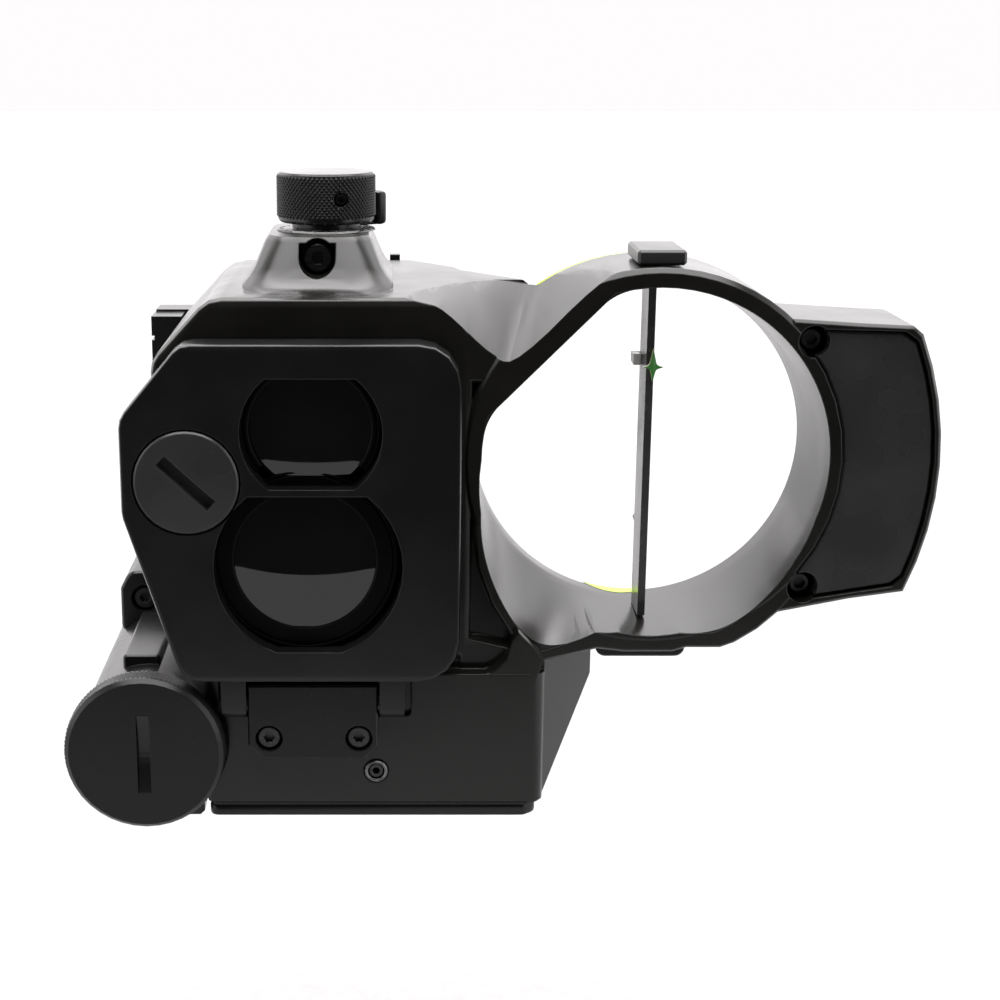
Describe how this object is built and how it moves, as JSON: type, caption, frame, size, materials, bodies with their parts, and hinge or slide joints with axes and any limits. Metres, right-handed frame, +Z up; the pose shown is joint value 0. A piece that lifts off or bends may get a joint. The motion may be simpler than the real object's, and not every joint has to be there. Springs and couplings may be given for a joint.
{
  "type": "laser-ranging bow sight",
  "caption": "Black bow sight with a sight ring and pin, a hinged two-window laser rangefinder module, a slotted battery cap, and a knob for height on a riser bracket.",
  "frame": {"origin": "middle of the bracket's mounting face, half way between its two bolt holes, where the sight lies against the bow's riser", "axes": "+X out of the mounting face and across the sight, from the battery tube to the arm; -Y down-range, to where the laser and the ring's front point; +Z up"},
  "size_m": [0.1367, 0.1366, 0.1013],
  "materials": {
    "black_cast_metal": "matte black coat over a casting",
    "black_anodised": "black anodised, satin",
    "black_plastic": "fine matte texture",
    "black_rubber": "matte",
    "dark_steel": "black oxide",
    "bright_steel": "plain",
    "brass": "plain",
    "coated_glass": "dark optical coating, polished",
    "clear_glass": "clear, polished",
    "board_green": "circuit board",
    "screen_grey": "display face",
    "fluorescent_green": "fluorescent",
    "pin_green": "gloss",
    "cell_wrap": "printed wrap left plain",
    "post_grey": "grey anodised"
  },
  "bodies": {
    "mount": {"riser_bracket": "black_anodised", "windage_rail": "black_anodised", "rail_screw_upper": "dark_steel", "rail_screw_lower": "dark_steel"},
    "windage_screw": {"windage_screw": "dark_steel"},
    "carriage": {"carriage_block": "black_anodised", "elevation_nut": "brass"},
    "housing": {"main_casting": "black_cast_metal", "rear_cover": "black_plastic", "rear_cover_screw_1": "dark_steel", "rear_cover_screw_2": "dark_steel", "display_window": "clear_glass", "display_panel": "screen_grey", "main_board": "board_green", "trigger_jack": "brass", "bottom_plate": "black_plastic", "bottom_gasket": "black_rubber", "hinge_plate": "black_anodised", "hinge_screw_left": "dark_steel", "hinge_screw_right": "dark_steel", "pivot_pin": "bright_steel", "adjust_screw_ring": "bright_steel", "battery_tube": "black_anodised", "tube_screw": "dark_steel", "battery_cell": "cell_wrap", "contact_spring": "bright_steel", "scale_ring": "black_anodised", "turret_lock_screw": "dark_steel", "ring_insert": "fluorescent_green", "accessory_block": "black_anodised", "level_housing": "black_plastic", "level_vial": "clear_glass", "pin_post": "post_grey", "led_strip": "black_plastic", "post_foot": "black_anodised", "arm_cover": "black_plastic", "arm_screw_upper": "dark_steel", "arm_screw_lower": "dark_steel", "arm_rear_shell": "black_plastic", "arm_board": "board_green"},
    "elevation_knob": {"elevation_knob": "black_anodised", "elevation_screw": "bright_steel", "knob_set_screw": "dark_steel"},
    "lock_lever": {"lock_lever": "black_anodised"},
    "laser_module": {"laser_bezel": "black_plastic", "laser_body": "black_plastic", "emitter_lens": "coated_glass", "receiver_lens": "coated_glass", "laser_diode": "brass"},
    "plug_seal": {"plug_seal": "black_rubber"},
    "access_plug": {"access_plug": "black_plastic"},
    "cap_seal": {"cap_seal": "black_rubber"},
    "battery_cap": {"battery_cap": "black_anodised"},
    "adjust_screw": {"adjust_screw": "dark_steel"},
    "button_up": {"button_up": "black_rubber"},
    "button_menu": {"button_menu": "black_rubber"},
    "button_down": {"button_down": "black_rubber"},
    "sight_pin": {"sight_pin": "pin_green", "pin_clip": "post_grey"}
  },
  "joints": [
    {"name": "windage_turn", "type": "hinge", "parent": "mount", "child": "windage_screw", "pos_m": [-0.028, -0.0468, 0.0036], "axis": [1, 0, 0], "range_deg": [-1805, 1805]},
    {"name": "windage_slide", "type": "slide", "parent": "mount", "child": "carriage", "axis": [1, 0, 0], "range_m": [-0.004, 0.004]},
    {"name": "elevation_slide", "type": "slide", "parent": "carriage", "child": "housing", "axis": [0, 0, 1], "range_m": [-0.008, 0.008]},
    {"name": "elevation_turn", "type": "hinge", "parent": "housing", "child": "elevation_knob", "pos_m": [-0.0196, -0.081, 0.046], "axis": [0, 0, 1], "range_deg": [-2310, 2310]},
    {"name": "lock_turn", "type": "hinge", "parent": "housing", "child": "lock_lever", "pos_m": [-0.0196, -0.081, 0.042], "axis": [0, 0, 1], "range_deg": [0, 45]},
    {"name": "laser_pitch", "type": "hinge", "parent": "housing", "child": "laser_module", "pos_m": [-0.021, -0.1093, -0.0305], "axis": [1, 0, 0], "range_deg": [-1.2, 1.2]},
    {"name": "adjust_turn", "type": "hinge", "parent": "housing", "child": "adjust_screw", "pos_m": [-0.0114, -0.107, -0.0426], "axis": [0, 1, 0], "range_deg": [-174, 174]},
    {"name": "plug_slide", "type": "slide", "parent": "laser_module", "child": "plug_seal", "axis": [0, -1, 0], "range_m": [0, 0.0015]},
    {"name": "plug_turn", "type": "hinge", "parent": "plug_seal", "child": "access_plug", "pos_m": [-0.04, -0.111, 0.0065], "axis": [0, -1, 0], "range_deg": [0, 541]},
    {"name": "cap_slide", "type": "slide", "parent": "housing", "child": "cap_seal", "axis": [0, -1, 0], "range_m": [0, 0.00313]},
    {"name": "cap_turn", "type": "hinge", "parent": "cap_seal", "child": "battery_cap", "pos_m": [-0.0479, -0.111, -0.0375], "axis": [0, -1, 0], "range_deg": [0, 901]},
    {"name": "button_up_press", "type": "slide", "parent": "housing", "child": "button_up", "axis": [0, -1, 0], "range_m": [0, 0.0006], "stiffness_N_per_m": 300},
    {"name": "button_menu_press", "type": "slide", "parent": "housing", "child": "button_menu", "axis": [0, -1, 0], "range_m": [0, 0.0006], "stiffness_N_per_m": 300},
    {"name": "button_down_press", "type": "slide", "parent": "housing", "child": "button_down", "axis": [0, -1, 0], "range_m": [0, 0.0006], "stiffness_N_per_m": 300},
    {"name": "pin_slide", "type": "slide", "parent": "housing", "child": "sight_pin", "axis": [0, 0, 1], "range_m": [-0.01, 0.008]}
  ],
  "couplings": [
    {"joint": "windage_turn", "follows": "windage_slide", "rad_per_m": -7854},
    {"joint": "elevation_turn", "follows": "elevation_slide", "rad_per_m": 5026.6},
    {"joint": "adjust_turn", "follows": "laser_pitch", "ratio": -144.5},
    {"joint": "plug_turn", "follows": "plug_slide", "rad_per_m": 6283.2},
    {"joint": "cap_turn", "follows": "cap_slide", "rad_per_m": 5026.6}
  ]
}
